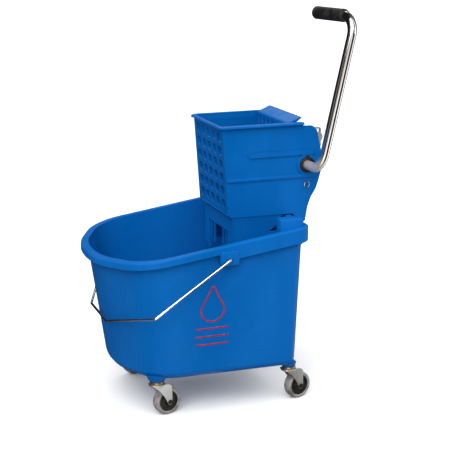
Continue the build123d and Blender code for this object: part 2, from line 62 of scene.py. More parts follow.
# ------------------------------------------------------------ surface maths
# One socket of a material's nodes, so that what varies over a surface is written as
# sums and products. node() adds any other node: its settings first, then its inputs.
class Field:
    def __init__(self, tree, socket=None):
        self.tree, self.socket = tree, socket

    def node(self, kind, settings=None, inputs=None, out=0):
        made = self.tree.nodes.new("ShaderNode" + kind)
        for name, value in (settings or {}).items():
            if name == "stops":
                ramp = made.color_ramp
                while len(ramp.elements) < len(value):
                    ramp.elements.new(0.5)
                for element, (place, shade) in zip(ramp.elements, value):
                    element.position = place
                    element.color = (*([shade] * 3 if isinstance(shade, float) else shade), 1)
            else:
                setattr(made, name, value)
        for name, value in (inputs or {}).items():
            if isinstance(value, Field):
                self.tree.links.new(value.socket, made.inputs[name])
            else:
                made.inputs[name].default_value = value
        return Field(self.tree, made.outputs[out])

    def math(self, operation, first, second=0.0, third=0.0):
        return self.node("Math", {"operation": operation}, {0: first, 1: second, 2: third})

    def __add__(self, other):
        return self.math("ADD", self, other)

    def __sub__(self, other):
        return self.math("SUBTRACT", self, other)

    def __rsub__(self, other):
        return self.math("SUBTRACT", other, self)

    def __mul__(self, other):
        return self.math("MULTIPLY", self, other)

    __radd__, __rmul__ = __add__, __mul__

    def ease(self, start, end):
        """0 before start, 1 after end, smooth between."""
        settings = {"interpolation_type": "SMOOTHSTEP"}
        return self.node("MapRange", settings, {0: self, 1: start, 2: end})

    def blend(self, colour_low, colour_high):
        """The colour between two, by this value."""
        return self.node("Mix", {"data_type": "RGBA"}, {0: self, 6: colour_low, 7: colour_high}, 2)

    def noise(self, scale, detail=3.0, stretch=(1, 1, 1)):
        """Smooth random value at this position, drawn out along an axis by a small stretch."""
        where = self.node("Mapping", None, {0: self, 3: stretch})
        return self.node("TexNoise", None, {"Vector": where, "Scale": scale, "Detail": detail})

    def grain(self, strength, distance):
        """Surface relief from this height."""
        inputs = {"Strength": strength, "Distance": distance, "Height": self}
        return self.node("Bump", None, inputs)


def rgb(red, green, blue):
    """Screen colour in 0 to 255 as a linear colour."""
    shades = (red, green, blue)
    return tuple(((c / 255 + 0.055) / 1.055) ** 2.4 if c > 10 else c / 3294 for c in shades) + (1,)


def finish_of(name, **constants):
    """New material: its shader node, and the position on the piece as a Field."""
    made = bpy.data.materials.new(name)
    made.use_nodes = True
    shader = made.node_tree.nodes["Principled BSDF"]
    for socket, value in constants.items():
        shader.inputs[socket.replace("_", " ")].default_value = value
    where = Field(made.node_tree).node("TexCoord", out="Object")
    return made, shader, where


def feed(shader, **fields):
    """Link the varying inputs of a shader."""
    for socket, field in fields.items():
        field.tree.links.new(field.socket, shader.inputs[socket.replace("_", " ")])


# ------------------------------------------------------------ studio
# A pale floor and a white room under one broad soft light, with three large lamps round it.
# Polished parts see dark flags and bright panels all round, as they do in a product studio.
def panels_round(where):
    """Bright and dark upright panels by compass heading."""
    heading = where.node("TexGradient", {"gradient_type": "RADIAL"}, {"Vector": where}, "Fac")
    panels = [(0.0, 0.12), (0.05, 0.15), (0.07, 0.01), (0.125, 0.01), (0.14, 0.45), (0.19, 0.6)]
    panels += [(0.21, 1.0), (0.255, 1.0), (0.265, 0.0), (0.32, 0.0), (0.34, 0.04), (0.39, 0.06)]
    panels += [(0.41, 0.9), (0.48, 0.8), (0.5, 0.12), (0.6, 0.08), (0.7, 0.04), (0.78, 0.01)]
    panels += [(0.96, 0.01), (0.99, 0.12)]
    return heading.node("ValToRGB", {"stops": panels}, {0: heading})


bm = bmesh.new()
bmesh.ops.create_circle(bm, cap_ends=True, segments=96, radius=40)
floor_data = bpy.data.meshes.new("floor")
bm.to_mesh(floor_data)
bm.free()
floor = bpy.data.objects.new("floor", floor_data)
bpy.context.scene.collection.objects.link(floor)
pale, shader, at = finish_of("pale_floor", Roughness=0.6, Specular_IOR_Level=0.0)
mirrored = at.node("LightPath", out="Is Glossy Ray")
tint = at.noise(3).blend((0.93, 0.93, 0.93, 1), (0.96, 0.96, 0.96, 1))
bounced = at.node("LightPath", out="Is Diffuse Ray")
dim_bounce = (0.4, 0.4, 0.4, 1)
feed(shader, Base_Color=bounced.blend(mirrored.blend(tint, panels_round(at)), dim_bounce))
floor_data.materials.append(pale)

world = bpy.data.worlds.new("room")
world.use_nodes = True
bpy.context.scene.world = world
room = world.node_tree.nodes["Background"]
toward = Field(world.node_tree).node("TexCoord", out="Generated")
mirrored = toward.node("LightPath", out="Is Glossy Ray")
seen = toward.node("LightPath", out="Is Camera Ray")
soft_white = (0.85, 0.85, 0.85, 1)
room_colour = seen.blend(mirrored.blend(soft_white, panels_round(toward)), (1, 1, 1, 1))
world.node_tree.links.new(room_colour.socket, room.inputs["Color"])

sun = bpy.data.objects.new("soft_sun", bpy.data.lights.new("soft_sun", "SUN"))
sun.data.energy, sun.data.angle = 2.1, radians(60)
sun.rotation_euler = Vector((-0.35, -0.62, 0.9)).to_track_quat("Z", "Y").to_euler()
bpy.context.scene.collection.objects.link(sun)
for name, place, size, power in (
    ("key", (-1.9, -2.3, 2.2), 1.6, 24),
    ("fill", (2.4, -1.6, 1.5), 1.2, 8),
    ("back", (1.0, 2.4, 2.4), 1.4, 10),
):
    lamp = bpy.data.objects.new(name, bpy.data.lights.new(name, "AREA"))
    lamp.data.size, lamp.data.energy = size, power
    lamp.location = place
    lamp.rotation_euler = (Vector((0, 0, 0.4)) - lamp.location).to_track_quat("-Z", "Y").to_euler()
    bpy.context.scene.collection.objects.link(lamp)

# ------------------------------------------------------------ tub
# One injection moulding in blue polypropylene: a deep pail with a sloping top, a turned-down
# lip that grows deeper behind the bail, and raised corners that flank the wringer.
WALL = 4.0
TUB_LOW, WALL_RISE, WALL_SPREAD, WALL_TAPER = 94.0, 356.0, 27.0, 14.0
REAR, NOSE, HALF = 232.0, -234.0, 209.0
LIP_REAR, LIP_NOSE, LIP_HALF = 243.0, -239.0, 219.0
NOSE_RUN, SIDE_RUN, STEP_X = 76.0, 355.0, 20.0
SHOULDER = NOSE + NOSE_RUN
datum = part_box("tub")[1].x / MM - LIP_REAR
blue = rgb(0, 92, 168)


def spot(x, y, z):
    """Millimetres from the tub's datum to a place in the frame."""
    return Vector((x + datum, y, z)) * MM


def wall_size(inset):
    """Rear, nose, half width and front taper of the tub's wall at a height."""
    def at(z):
        t = (z - TUB_LOW) / WALL_RISE
        half = 182 + WALL_SPREAD * t - inset
        return 226 + 6 * t - inset, -183 - 51 * t + inset, half, WALL_TAPER * (1 - t)
    return at


def lip_size(inset):
    return lambda z: (LIP_REAR - inset, LIP_NOSE + inset, LIP_HALF - inset, 4)


def rim_height(x):
    return 446 - 0.14 * (LIP_REAR - x)


def settle(ring, size_at, height_at):
    """Move a ring of the shell to its size and height; each corner keeps its share of the plan."""
    for v in ring:
        plan = v[home]
        share = (plan.x - NOSE) / (REAR - NOSE)
        narrowing = min(1, (REAR - plan.x) / (REAR - SHOULDER))
        x = plan.x
        for _ in range(3):
            z = height_at(x, plan.x)
            rear, nose, half, taper = size_at(z)
            x = nose + share * (rear - nose)
        v.co = spot(x, plan.y / HALF * (half - taper * narrowing), z)


def extrude_ring(bm, edges):
    """Extrude a ring of edges and return the new edges and vertices."""
    made = bmesh.ops.extrude_edge_only(bm, edges=edges)["geom"]
    return [g for g in made if isinstance(g, bmesh.types.BMEdge)], [
        g for g in made if isinstance(g, bmesh.types.BMVert)
    ]


def new_piece(name, bm, material, body, smooth=35, bevel=0.0):
    """Finish a mesh as a piece of the object that rides on a body."""
    bmesh.ops.recalc_face_normals(bm, faces=bm.faces)
    data = bpy.data.meshes.new(name)
    bm.to_mesh(data)
    bm.free()
    data.materials.append(material)
    data.shade_smooth()
    piece = bpy.data.objects.new(name, data)
    bpy.context.scene.collection.objects.link(piece)
    if bevel:
        edge = piece.modifiers.new("edge", "BEVEL")
        edge.width, edge.segments, edge.limit_method = bevel * MM, 2, "ANGLE"
        edge.angle_limit = radians(smooth)
        edge.harden_normals = True
    else:
        data.set_sharp_from_angle(angle=radians(smooth))
    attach(piece, body)
    return piece


def join(bm, part, place):
    """Set a finished part in its place and add it to a mesh."""
    bmesh.ops.recalc_face_normals(part, faces=part.faces)
    bmesh.ops.transform(part, matrix=place, verts=part.verts[:])
    carrier = bpy.data.meshes.new("part")
    part.to_mesh(carrier)
    part.free()
    bm.from_mesh(carrier)
    bpy.data.meshes.remove(carrier)


def bevelled(bm, geom, radius, segments=3, affect="EDGES"):
    """Round edges or corners by a radius in millimetres."""
    bmesh.ops.bevel(
        bm, geom=geom, offset=radius * MM, segments=segments, profile=0.5, affect=affect,
        clamp_overlap=False, material=-1,
    )


def sized(*size):
    """Matrix that makes a unit cube a block of this size in millimetres."""
    return Matrix.Diagonal((*(Vector(size) * MM), 1))


def rounded_block(bm, centre, size, radius):
    """Closed block with rounded edges, added to a mesh; sizes in millimetres."""
    part = bmesh.new()
    bmesh.ops.create_cube(part, size=1, matrix=sized(*size))
    bevelled(part, part.edges[:], radius)
    join(bm, part, Matrix.Translation(spot(*centre)))


def lathe(bm, profile, place, steps=48):
    """Spin a closed profile of (radius, height) about the local Z axis of a place."""
    part = bmesh.new()
    line = [part.verts.new((r * MM, 0, h * MM)) for r, h in profile]
    edges = [part.edges.new((a, b)) for a, b in zip(line, line[1:] + line[:1])]
    bmesh.ops.spin(
        part, geom=line + edges, cent=(0, 0, 0), axis=(0, 0, 1), angle=2 * pi,
        steps=steps, use_merge=True,
    )
    bmesh.ops.remove_doubles(part, verts=part.verts[:], dist=1e-6)
    join(bm, part, place)


def moulded(name, colour):
    """Injection-moulded polypropylene: faint flow marks, orange peel and scuffs."""
    made, shader, at = finish_of(name, Specular_IOR_Level=0.16, Specular_Tint=rgb(120, 180, 235))
    flow = at.noise(5, 4, (1, 1, 0.35))
    peel = at.noise(420, 2)
    scuff = (at.noise(70, 5, (0.12, 1, 1)) * at.noise(9, 2)).ease(0.36, 0.42)
    dusty = at.noise(26, 6).ease(0.52, 0.72)
    deep = tuple(c * 0.90 for c in colour[:3]) + (1,)
    light = tuple(min(1, c * 1.10 + 0.004) for c in colour[:3]) + (1,)
    worn = tuple(c * 0.9 + 0.012 for c in colour[:3]) + (1,)
    tone = (flow.ease(0.3, 0.7) * 0.8 + dusty * 0.2).blend(deep, light)
    feed(
        shader,
        Base_Color=(scuff * 0.22).blend(tone, worn),
        Roughness=0.33 + 0.1 * dusty + 0.16 * scuff + 0.04 * flow,
        Normal=(peel * 0.8 + at.noise(60, 3) * 0.6).grain(0.16, 0.0006),
    )
    return made


tub_plastic = moulded("tub_polypropylene", blue)
bm = bmesh.new()
home = bm.verts.layers.float_vector.new("plan")
corner_points = [(REAR, -HALF, 24), (REAR, HALF, 24), (SHOULDER, HALF, 62)]
corner_points += [(NOSE + 11, 84, 30), (NOSE, 0, 40)]
corner_points += [(x, -y, r) for x, y, r in reversed(corner_points[2:4])]
outline = [bm.verts.new((x, y, 0)) for x, y, r in corner_points]
bm.faces.new(outline)
for corner, (x, y, run) in zip(outline, corner_points):
    bmesh.ops.bevel(
        bm, geom=[corner], offset=run, offset_type="OFFSET", segments=9,
        profile=0.5, affect="VERTICES", clamp_overlap=False, material=-1,
    )
for x in (STEP_X - 3, STEP_X + 3):
    bmesh.ops.bisect_plane(
        bm, geom=bm.verts[:] + bm.edges[:] + bm.faces[:], plane_co=(x, 0, 0), plane_no=(1, 0, 0)
    )
    bmesh.ops.dissolve_edges(bm, edges=[e for e in bm.edges if len(e.link_faces) == 2])
for v in bm.verts:
    v[home] = v.co
weight = bm.edges.layers.float.new("bevel_weight_edge")
ring = bm.edges[:]
settle(bm.verts, wall_size(0), lambda x, plan_x: TUB_LOW)


def below_rim(depth, deep_depth=None):
    """Height of a ring that follows the rim, deeper behind the bail."""
    behind = deep_depth or depth
    return lambda x, plan_x: rim_height(x) - (behind if plan_x > STEP_X else depth)


rounding, floor_rounding = 20.0, 16.0
shell = [
    (wall_size(0), below_rim(WALL), 20), (lip_size(WALL), below_rim(WALL), 1.5),
    (lip_size(WALL), below_rim(17, 36), 2), (lip_size(0), below_rim(17, 36), 1.2),
    (lip_size(0), below_rim(0), 1.8), (wall_size(WALL), below_rim(0), 4.5),
    (wall_size(WALL), lambda x, plan_x: TUB_LOW + WALL, 2.2),
]
for size_at, height_at, edge_radius in shell:
    for e in ring:
        e[weight] = edge_radius / rounding
    ring, fresh = extrude_ring(bm, ring)
    settle(fresh, size_at, height_at)
for e in ring:
    e[weight] = floor_rounding / rounding
bmesh.ops.contextual_create(bm, geom=ring)
tub = new_piece("tub_shell", bm, tub_plastic, "tub")
edge = tub.modifiers.new("edge", "BEVEL")
edge.width, edge.segments, edge.limit_method = rounding * MM, 4, "WEIGHT"
edge.harden_normals, edge.use_clamp_overlap = True, False
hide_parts("tub")


# ------------------------------------------------------------ tub corners, pads and bosses
# Parts of the same moulding: raised corners beside the wringer, pads that the bail turns in,
# bosses below the floor for the caster stems and their pillars inside.
bm = bmesh.new()
for side in (-1, 1):
    rounded_block(bm, (200, side * 191, 431.5), (56, 30, 63), 4)
    rounded_block(bm, (44, side * 212, 388), (44, 16, 34), 3)
caster_names = [f"{end}_{side}" for end in ("front", "rear") for side in ("left", "right")]
for name in caster_names:
    stem_low, stem_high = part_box(f"{name}_caster_stem")
    middle = (stem_low + stem_high) / 2
    foot = Matrix.Translation((middle.x, middle.y, 0))
    lathe(bm, [(0, 87), (16.2, 87), (17.4, 87.4), (19, 89.4), (21.4, 93), (26, 103), (0, 103)], foot)
    lathe(bm, [(0, 97), (13, 97), (11, 99), (10.5, 102), (10.5, 121), (8, 123.5), (0, 124)], foot)
rear_wall = bmesh.ops.bisect_plane(
    bm, geom=bm.verts[:] + bm.edges[:] + bm.faces[:], dist=1e-6,
    plane_co=spot(229, 0, 0), plane_no=(1, 0, 0), clear_outer=True,
)["geom_cut"]
bmesh.ops.holes_fill(bm, edges=[g for g in rear_wall if isinstance(g, bmesh.types.BMEdge)], sides=0)
new_piece("tub_corners_and_bosses", bm, tub_plastic, "tub")

# ------------------------------------------------------------ level marks
# Raised bars on both sides of the tub, moulded with it, and a plain drop outline above three
# bars, printed in red ink as a fill mark.
def on_wall(side, x, z):
    """Place on the outside of a straight side wall: X along it, Z up it."""
    rear, nose, half, taper = wall_size(0)(z)
    half_here = half - taper * (rear - x) / (rear - nose - NOSE_RUN)
    lean = Matrix.Rotation(-side * atan2(WALL_SPREAD, WALL_RISE), 4, "X")
    skew = Matrix.Rotation(side * atan2(taper, SIDE_RUN), 4, "Z")
    return Matrix.Translation(spot(x, side * half_here, z)) @ skew @ lean


bm = bmesh.new()
level_low, level_step, level_count, level_end = 150, 17.5, 9, 176
for side in (-1, 1):
    for level in range(level_count):
        length = 34 if level % 2 else 56
        bar = bmesh.new()
        bmesh.ops.create_cube(bar, size=1, matrix=sized(length, 2, 3))
        bevelled(bar, bar.edges[:], 0.8, 2)
        join(bm, bar, on_wall(side, level_end - length / 2, level_low + level * level_step))
new_piece("tub_level_bars", bm, tub_plastic, "tub")

red_ink, shader, at = finish_of("red_ink", Roughness=0.5, Specular_IOR_Level=0.2)
patchy = at.noise(300, 3).ease(0.3, 0.75)
feed(shader, Base_Color=patchy.blend(rgb(120, 34, 62), rgb(196, 40, 66)))
skin = bmesh.new()
skin.from_mesh(tub.data)
shell_surface = BVHTree.FromBMesh(skin)
skin.free()
bm = bmesh.new()
drop_x, drop_z, drop_r, bar_length, stroke, ink = 12, 262, 30, 80, 3.4, 0.3
upright = Matrix.Rotation(pi / 2, 4, "X")
for side in (-1, 1):
    drop = bmesh.new()
    bmesh.ops.create_circle(drop, cap_ends=True, segments=48, radius=drop_r * MM)
    for v in drop.verts:
        raised = max(0, v.co.y / (drop_r * MM))
        v.co.x *= 1 - 0.5 * raised**2
        v.co.y += drop_r * MM * raised**3
    bmesh.ops.inset_individual(drop, faces=drop.faces[:], thickness=stroke * MM, use_even_offset=True)
    middle = max(drop.faces, key=lambda f: len(f.verts))
    bmesh.ops.delete(drop, geom=[middle], context="FACES_ONLY")
    join(bm, drop, on_wall(side, drop_x, drop_z) @ upright)
    for below in (45, 65, 85):
        bar = bmesh.new()
        bmesh.ops.create_grid(
            bar, x_segments=8, y_segments=1, size=0.5, matrix=sized(bar_length, stroke, 1)
        )
        join(bm, bar, on_wall(side, drop_x, drop_z - below) @ upright)
for v in bm.verts:
    inward = Vector((0, -1 if v.co.y > 0 else 1, 0))
    wall_face = shell_surface.ray_cast(v.co - inward * 100 * MM, inward)[0]
    v.co = wall_face - inward * ink * MM
mark = new_piece("tub_fill_mark", bm, red_ink, "tub")
film = mark.modifiers.new("film", "SOLIDIFY")
film.thickness, film.offset = 2 * ink * MM, 0

# ------------------------------------------------------------ bail
# Round steel wire with a zinc coat, bent cold to a flat-bottomed hoop whose ends turn in
# blue flanged bushes pressed into the pads.
def bent_bar(bm, points, radius, bend, sides=20, steps=8):
    """Carry a round section along straight runs and spin it round each corner."""
    points = [Vector(p) for p in points]
    first = (points[1] - points[0]).normalized()
    facing = Matrix.Translation(points[0]) @ first.to_track_quat("Z", "Y").to_matrix().to_4x4()
    section = bmesh.ops.create_circle(
        bm, cap_ends=True, segments=sides, radius=radius * MM, matrix=facing
    )["verts"]
    section = section + list({e for v in section for e in v.link_edges})
    at_point = points[0]
    for before, corner, after in zip(points, points[1:], points[2:]):
        arrive, leave = (corner - before).normalized(), (after - corner).normalized()
        angle = arrive.angle(leave)
        axis = arrive.cross(leave).normalized()
        start = corner - arrive * bend * MM * tan(angle / 2)
        section = run_on(bm, section, start - at_point)
        section = bmesh.ops.spin(
            bm, geom=section, cent=start + axis.cross(arrive) * bend * MM, axis=axis,
            angle=angle, steps=max(3, int(steps * angle)), use_merge=False,
        )["geom_last"]
        at_point = corner + leave * bend * MM * tan(angle / 2)
    section = run_on(bm, section, points[-1] - at_point)
    bmesh.ops.contextual_create(bm, geom=[g for g in section if isinstance(g, bmesh.types.BMEdge)])


def run_on(bm, section, by):
    """Extrude a section along a straight run and return its far end."""
    edges = [g for g in section if isinstance(g, bmesh.types.BMEdge)]
    new_edges, new_verts = extrude_ring(bm, edges)
    bmesh.ops.translate(bm, verts=new_verts, vec=by)
    return new_verts + new_edges


def bright_metal(name, colour, rough, streak=(1, 1, 1), spots=0.0):
    """Plated or polished metal with fine drawing lines, faint stains and dulled patches."""
    made, shader, at = finish_of(name, Metallic=1.0)
    lines = at.noise(260, 3, streak)
    stain = at.noise(24, 5).ease(0.45, 0.8)
    frost = at.node("TexVoronoi", None, {"Vector": at, "Scale": 420}, "Color")
    shade = frost.node("SeparateColor", None, {0: frost}) * spots
    dark = tuple(c * 0.72 for c in colour[:3]) + (1,)
    feed(
        shader,
        Base_Color=(stain * 0.5 + shade).blend(colour, dark),
        Roughness=rough + 0.10 * stain + 0.08 * lines + 0.3 * shade,
        Normal=lines.grain(0.05, 0.0003),
    )
    return made


bail_zinc = bright_metal("bail_wire_zinc", rgb(236, 230, 224), 0.16, (1, 0.2, 1), 0.06)
BAIL_AT, BAIL_ARM, BAIL_DROP, BAIL_HANG = (44, 388), 217, 300, radians(33.3)


def outward_from(x, z, side=1):
    """Place with its Z axis along the frame's Y axis, outward on the given side."""
    return Matrix.Translation(spot(x, 0, z)) @ Matrix.Rotation(side * -pi / 2, 4, "X")


def bail_point(y, reach):
    return spot(BAIL_AT[0] - reach * cos(BAIL_HANG), y, BAIL_AT[1] - reach * sin(BAIL_HANG))


arm_y, flat_y, wire_r, wire_bend = 228, 70, 3, 8
half_hoop = [spot(BAIL_AT[0], -207, BAIL_AT[1]), spot(BAIL_AT[0], -arm_y, BAIL_AT[1])]
half_hoop += [bail_point(-arm_y, BAIL_ARM), bail_point(-flat_y, BAIL_DROP)]
hoop = half_hoop + [Vector((p.x, -p.y, p.z)) for p in reversed(half_hoop)]
bm = bmesh.new()
bent_bar(bm, hoop, wire_r, wire_bend)
bail = new_piece("bail_hoop", bm, bail_zinc, "bail", smooth=50)
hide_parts("bail_wire")

bush = [(3.1, 205), (5.9, 205), (5.9, 220), (8.5, 220), (8.2, 221.2), (7.4, 221.5), (3.1, 221.5)]
bm = bmesh.new()
for side in (-1, 1):
    lathe(bm, bush, outward_from(*BAIL_AT, side), 28)
bushes = new_piece("bail_nylon_bushes", bm, tub_plastic, "tub")
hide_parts("bail_bushes")

# ------------------------------------------------------------ casters
# Four swivel casters: a yellow zinc stem and race pushed up into the boss, a pressed steel
# fork below it, and a black moulded wheel with a grey tyre on a blackened hexagon bolt.
def plate(bm, outline, y0, y1, place, corner_r=2.0):
    """Flat plate with rounded corners from an X-Z outline, thick from y0 to y1."""
    part = bmesh.new()
    corners = [part.verts.new((x * MM, y0 * MM, z * MM)) for x, z in outline]
    part.faces.new(corners)
    for v in corners:
        bevelled(part, [v], corner_r, 4, "VERTICES")
    made = bmesh.ops.extrude_face_region(part, geom=part.faces[:])["geom"]
    far = [g for g in made if isinstance(g, bmesh.types.BMVert)]
    bmesh.ops.translate(part, verts=far, vec=(0, (y1 - y0) * MM, 0))
    join(bm, part, place)


yellow_zinc = bright_metal("yellow_zinc_plate", rgb(224, 190, 128), 0.25, (1, 1, 1), 0.1)
fork_zinc = bright_metal("fork_zinc_plate", rgb(222, 222, 216), 0.34, (1, 1, 1), 0.4)
black_steel = bright_metal("blackened_steel", rgb(70, 66, 62), 0.4, (1, 1, 1), 0.2)
tread, shader, at = finish_of("grey_rubber_tyre", Specular_IOR_Level=0.25)
grime = at.noise(60, 5).ease(0.4, 0.7)
feed(
    shader,
    Base_Color=grime.blend(rgb(144, 140, 139), rgb(100, 94, 90)),
    Roughness=0.55 + 0.2 * grime,
    Normal=at.noise(350, 4).grain(0.3, 0.0005),
)
hub_plastic, shader, at = finish_of("black_hub_plastic", Specular_IOR_Level=0.35)
dust = at.noise(70, 5).ease(0.4, 0.7)
feed(
    shader,
    Base_Color=dust.blend((0.010, 0.009, 0.009, 1), (0.03, 0.026, 0.024, 1)),
    Roughness=0.42 + 0.25 * dust,
    Normal=at.noise(420, 3).grain(0.15, 0.0004),
)
CASTER_TURN, TRAIL, AXLE_Z = radians(14), 26, 32.5
race = [(0, 81), (13, 81), (14, 81.6), (16, 82.2), (16.5, 83.4), (16, 85), (14.6, 85.6)]
race += [(13.2, 87), (0, 87)]
crown = [(5.3, 74.6), (17.5, 74.6), (18.7, 75.2), (19, 76.5), (18.2, 78.4), (16, 79.6), (14.5, 80.4)]
crown += [(12, 80.4), (11, 79.2), (5.3, 79.2)]
leg = [(-14, 79), (22, 79), (32, 72), (32, 30.5), (29, 25.5), (23, 25.5), (12, 46.5)]
leg += [(-3, 66), (-14, 74)]
leg_inner, leg_outer = 14, 16.5
half_hub = [(3.05, 13), (7.4, 13), (8, 12.4), (8.8, 7.2), (10, 6.4), (18, 5.6), (21, 6.4), (22.2, 9.6)]
half_hub += [(23, 10), (24.5, 10)]
half_tyre = [(24.5, 10.2), (25.4, 11), (26.4, 11.4), (28, 11.5), (29.6, 11.2), (31, 10.4), (32, 8.8)]
half_tyre += [(32.4, 6.6), (32.5, 4)]
for name in caster_names:
    stem_low, stem_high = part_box(f"{name}_caster_stem")
    middle = (stem_low + stem_high) / 2
    foot = Matrix.Translation((middle.x, middle.y, 0))
    turned = foot @ Matrix.Rotation(CASTER_TURN, 4, "Z")
    hub_place = Matrix.Translation(Vector((TRAIL, 0, AXLE_Z)) * MM)
    wheel = turned @ hub_place @ Matrix.Rotation(-pi / 2, 4, "X")

    bm = bmesh.new()
    lathe(bm, race, foot)
    lathe(bm, [(0, 86), (5.5, 86), (5.5, 119), (4.6, 122), (0, 122)], foot, 24)
    lathe(bm, [(0, 72), (4.2, 72), (5, 73), (5, 82), (0, 82)], foot, 24)
    piece = new_piece(f"{name}_stem_and_race", bm, yellow_zinc, "tub")
    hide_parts(f"{name}_caster_stem")

    bm = bmesh.new()
    lathe(bm, crown, foot)
    for near, far in ((-leg_outer, -leg_inner), (leg_inner, leg_outer)):
        plate(bm, leg, near, far, turned, 1.8)
    piece = new_piece(f"{name}_fork", bm, fork_zinc, f"{name}_fork", smooth=30, bevel=0.7)
    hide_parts(f"{name}_caster_fork")

    bm = bmesh.new()
    lathe(bm, [(0, -18.6), (2.4, -18.6), (3, -18), (3, 19.6), (2.2, 20.4), (0, 20.4)], wheel, 24)
    washer = [(3, leg_outer), (5.6, leg_outer), (5.6, leg_outer + 0.7), (3, leg_outer + 0.7)]
    for side in (-1, 1):
        lathe(bm, [(r, side * h) for r, h in washer], wheel, 24)
        head = bmesh.new()
        bmesh.ops.create_cone(
            head, cap_ends=True, segments=6, radius1=4.8 * MM, radius2=4.8 * MM, depth=1.9 * MM
        )
        bevelled(head, head.edges[:], 0.35, 2)
        join(bm, head, wheel @ Matrix.Translation((0, 0, side * 18 * MM)))
    piece = new_piece(f"{name}_axle_bolt", bm, black_steel, f"{name}_fork")
    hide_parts(f"{name}_caster_axle")

    bm = bmesh.new()
    lathe(bm, half_hub + [(r, -h) for r, h in reversed(half_hub)], wheel)
    piece = new_piece(f"{name}_hub", bm, hub_plastic, f"{name}_wheel")
    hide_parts(f"{name}_caster_hub")

    bm = bmesh.new()
    lathe(bm, half_tyre + [(r, -h) for r, h in reversed(half_tyre)], wheel, 64)
    piece = new_piece(f"{name}_tyre", bm, tread, f"{name}_wheel")
    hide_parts(f"{name}_caster_tyre")

# ------------------------------------------------------------ wringer body
# A blue polypropylene basket hung in the rear of the tub: two cheeks that carry the shaft,
# stiffened by raised bands, over a floor with drain slots, a skirt and a rear hook.
SHAFT_X, SHAFT_Z, TIE_Z = 281, 564, 516
WRINGER_HALF, CHEEK_IN = 100, 96
wringer_plastic = moulded("wringer_polypropylene", blue)
bm = bmesh.new()
cheek = [(72, 666), (270, 666), (270, 657), (295, 656), (306, 646), (317, 600), (321, 556)]
cheek += [(313, 526), (306, 505), (293, 484), (285, 462), (279, 426), (272, 424), (250, 424)]
cheek += [(250, 447), (87, 449)]
whole_wringer = Matrix.Translation(spot(0, 0, 0))
for near, far in ((-WRINGER_HALF, -CHEEK_IN), (CHEEK_IN, WRINGER_HALF)):
    plate(bm, cheek, near, far, whole_wringer, 3.5)
piece = new_piece("wringer_cheeks", bm, wringer_plastic, "wringer", smooth=40, bevel=0.9)
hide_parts("wringer_housing")

bm = bmesh.new()
for side in (-1, 1):
    near, far = sorted((side * 99, side * 103.5))
    band = [(132, 588), (300, 588), (300, 600), (132, 600)]
    plate(bm, band, near, far, whole_wringer, 5.5)
    rounded_block(bm, (190, side * 100.5, 537), (220, 5, 9), 2.2)
    boss = [(16.6, 94), (25.4, 94), (26, 95), (26, 101.6), (25, 102.8), (23.6, 103), (16.6, 103)]
    lathe(bm, boss, outward_from(SHAFT_X, SHAFT_Z, side))
rounded_block(bm, (220, 0, 449), (4, 195, 12), 0.8)
rounded_block(bm, (236, 0, 449), (36, 196, 4), 0.8)
rounded_block(bm, (252, 0, 436), (4, 196, 28), 1.2)
new_piece("wringer_bands_bosses_and_hook", bm, wringer_plastic, "wringer")

# ------------------------------------------------------------ wringer front panel
# The sloping front of the basket, moulded as a grid of round-cornered openings that let the
# water out, five across and six up, inside a plain frame.
def perforated(bm, across, up, rib, corner_r, squeeze=(1, 1, 1)):
    """Flat panel in X-Y between the given divisions, each cell but the border opened."""
    columns, rows = len(across) - 1, len(up) - 1
    made = bmesh.ops.create_grid(bm, x_segments=columns, y_segments=rows, size=0.5)["verts"]
    places = {v: (round((v.co.x + 0.5) * columns), round((v.co.y + 0.5) * rows)) for v in made}
    for v, (column, row) in places.items():
        v.co = (across[column] * MM, up[row] * MM, 0)
    cells = [
        f for f in {f for v in made for f in v.link_faces}
        if all(0 < places[v][0] < columns and 0 < places[v][1] < rows for v in f.verts)
    ]
    bmesh.ops.inset_individual(bm, faces=cells, thickness=rib / 2 * MM, use_even_offset=True)
    for f in cells:
        middle = f.calc_center_median()
        bmesh.ops.scale(bm, verts=f.verts[:], vec=squeeze, space=Matrix.Translation(-middle))
    middles = [f.calc_center_median() for f in cells]
    corners = list({v for f in cells for v in f.verts})
    bevelled(bm, corners, corner_r, 4, "VERTICES")
    openings = [min(bm.faces, key=lambda f: (f.calc_center_median() - m).length) for m in middles]
    bmesh.ops.delete(bm, geom=openings, context="FACES_ONLY")


bm = bmesh.new()
frame_y = [-WRINGER_HALF, *[-90 + 36 * i for i in range(6)], WRINGER_HALF]
frame_z = [457, *[463.25 + 31.5 * i for i in range(7)], 662]
perforated(bm, frame_y, frame_z, 9, 5.5, (0.82, 1, 1))
slope = -15 / 209
for v in bm.verts:
    z = v.co.y / MM
    v.co = spot(83 + slope * (z - 457) + 3, v.co.x / MM * 1.001, z)
panel = new_piece("wringer_front_grid", bm, wringer_plastic, "wringer")
depth = panel.modifiers.new("depth", "SOLIDIFY")
depth.thickness, depth.offset = 6 * MM, 0
edge = panel.modifiers.new("edge", "BEVEL")
edge.width, edge.segments, edge.limit_method, edge.harden_normals = 0.9 * MM, 2, "ANGLE", True

bm = bmesh.new()
floor_x = [83, *[92 + 25 * i for i in range(6)], 222]
floor_y = [-97.5, -78, 0, 78, 97.5]
perforated(bm, floor_x, floor_y, 15, 4)
bmesh.ops.transform(bm, matrix=Matrix.Translation(spot(0, 0, 455)), verts=bm.verts[:])
floor_plate = new_piece("wringer_drain_floor", bm, wringer_plastic, "wringer")
depth = floor_plate.modifiers.new("depth", "SOLIDIFY")
depth.thickness, depth.offset = 4 * MM, 0

